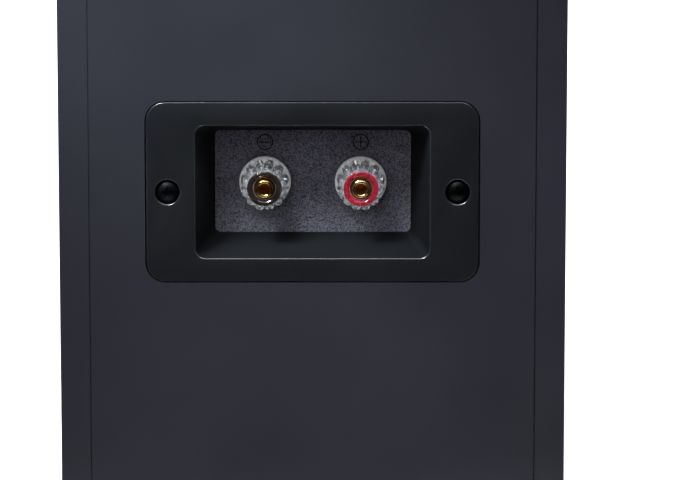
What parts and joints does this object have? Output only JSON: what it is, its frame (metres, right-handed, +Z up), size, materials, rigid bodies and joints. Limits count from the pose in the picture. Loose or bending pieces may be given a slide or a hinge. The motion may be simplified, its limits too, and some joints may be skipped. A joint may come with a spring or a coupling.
{
  "type": "bookshelf speaker",
  "caption": "Black bookshelf loudspeaker with woofer, dome tweeter, rear bass port and a recessed cup of binding posts whose clear knobs screw in and out.",
  "frame": {"origin": "middle of the box's width and depth, on the surface that the feet stand on", "axes": "+Z up, -Y towards the listener, +Y out of the rear panel"},
  "size_m": [0.18, 0.22, 0.33],
  "materials": {
    "vinyl_board": "black leather-grain vinyl over fibreboard",
    "raw_board": "bare fibreboard",
    "batten": "planed softwood",
    "wadding": "loose polyester wadding",
    "foot_rubber": "matt moulded rubber",
    "socket_plastic": "matt moulded plastic",
    "port_plastic": "satin moulded ABS",
    "cup_plastic": "fine-textured moulded ABS",
    "foam": "closed-cell foam",
    "black_screw": "black zinc",
    "post_metal": "gold-plated brass",
    "clear_plastic": "clear moulded polycarbonate",
    "red_plastic": "red dyed plastic",
    "smoke_plastic": "smoke black plastic",
    "base_plastic": "dark moulded plastic",
    "insulator": "moulded nylon",
    "tinned": "tinned brass",
    "nut_steel": "nickel-plated steel",
    "basket_metal": "black powder coat",
    "trim_metal": "satin black",
    "cone_paper": "mica-loaded moulded cone",
    "surround_rubber": "butyl rubber",
    "cap_plastic": "gloss black",
    "coil_copper": "enamelled copper on a glass former",
    "spider_cloth": "resin-treated corrugated cloth",
    "motor_steel": "zinc-plated steel",
    "ferrite": "ground ferrite",
    "strip_board": "phenolic board with tinned tabs",
    "horn_plastic": "satin moulded ABS",
    "silk": "doped silk",
    "circuit_board": "glass-fibre board with tinned tabs",
    "nylon": "white nylon",
    "coil_wire": "enamelled copper on a bobbin",
    "capacitor_sleeve": "shrink sleeve",
    "cement": "white cement body",
    "lead_insulation": "PVC insulation",
    "braid": "tinsel braid"
  },
  "bodies": {
    "root": {"side_panel_right": "vinyl_board", "side_panel_left": "vinyl_board", "top_panel": "vinyl_board", "bottom_panel": "vinyl_board", "front_baffle": "vinyl_board", "rear_panel": "vinyl_board", "window_brace": "raw_board", "corner_blocks": "batten", "damping_wadding": "wadding", "rubber_feet": "foot_rubber", "grille_sockets": "socket_plastic", "port_flare": "port_plastic", "port_tube": "port_plastic", "terminal_cup": "cup_plastic", "cup_gasket": "foam", "cup_screws": "black_screw", "post_positive": "post_metal", "post_negative": "post_metal", "post_bases": "base_plastic", "rear_insulators": "insulator", "solder_tags": "tinned", "post_nuts": "nut_steel", "woofer_basket": "basket_metal", "woofer_trim_ring": "trim_metal", "woofer_screws": "black_screw", "woofer_top_plate": "motor_steel", "woofer_magnet": "ferrite", "woofer_yoke": "motor_steel", "woofer_surround": "surround_rubber", "woofer_spider": "spider_cloth", "woofer_terminal_strip": "strip_board", "tweeter_faceplate": "horn_plastic", "tweeter_screws": "black_screw", "tweeter_surround": "silk", "tweeter_top_plate": "motor_steel", "tweeter_magnet": "ferrite", "tweeter_yoke": "motor_steel", "tweeter_terminals": "strip_board", "crossover_board": "circuit_board", "board_pillars": "nylon", "woofer_inductor": "coil_wire", "tweeter_inductor": "coil_wire", "crossover_capacitors": "capacitor_sleeve", "cement_resistor": "cement", "input_leads": "lead_insulation", "woofer_leads": "lead_insulation", "tweeter_leads": "lead_insulation", "woofer_tinsel_leads": "braid"},
    "positive_slider": {"polarity_ring_positive": "red_plastic"},
    "positive_knob": {"knob_positive": "clear_plastic", "knob_insert_positive": "post_metal"},
    "negative_slider": {"polarity_ring_negative": "smoke_plastic"},
    "negative_knob": {"knob_negative": "clear_plastic", "knob_insert_negative": "post_metal"},
    "woofer_cone_assembly": {"woofer_cone": "cone_paper", "woofer_dust_cap": "cap_plastic", "woofer_voice_coil": "coil_copper"},
    "tweeter_dome_assembly": {"tweeter_dome": "silk", "tweeter_voice_coil": "coil_copper"}
  },
  "joints": [
    {"name": "positive_knob_travel", "type": "slide", "parent": "root", "child": "positive_slider", "axis": [0, 1, 0], "range_m": [0, 0.004]},
    {"name": "positive_knob_turn", "type": "hinge", "parent": "positive_slider", "child": "positive_knob", "pos_m": [-0.0172, 0.0964, 0.122], "axis": [0, 1, 0], "range_deg": [0, 1800]},
    {"name": "negative_knob_travel", "type": "slide", "parent": "root", "child": "negative_slider", "axis": [0, 1, 0], "range_m": [0, 0.004]},
    {"name": "negative_knob_turn", "type": "hinge", "parent": "negative_slider", "child": "negative_knob", "pos_m": [0.0172, 0.0964, 0.122], "axis": [0, 1, 0], "range_deg": [0, 1800]},
    {"name": "woofer_stroke", "type": "slide", "parent": "root", "child": "woofer_cone_assembly", "axis": [0, -1, 0], "range_m": [-0.004, 0.004], "stiffness_N_per_m": 1000, "deforming": ["woofer_surround", "woofer_spider", "woofer_tinsel_leads"]},
    {"name": "tweeter_stroke", "type": "slide", "parent": "root", "child": "tweeter_dome_assembly", "axis": [0, -1, 0], "range_m": [-0.0004, 0.0004], "stiffness_N_per_m": 300, "deforming": ["tweeter_surround"]}
  ],
  "couplings": [
    {"joint": "positive_knob_turn", "follows": "positive_knob_travel", "rad_per_m": 7854},
    {"joint": "negative_knob_turn", "follows": "negative_knob_travel", "rad_per_m": 7854}
  ]
}
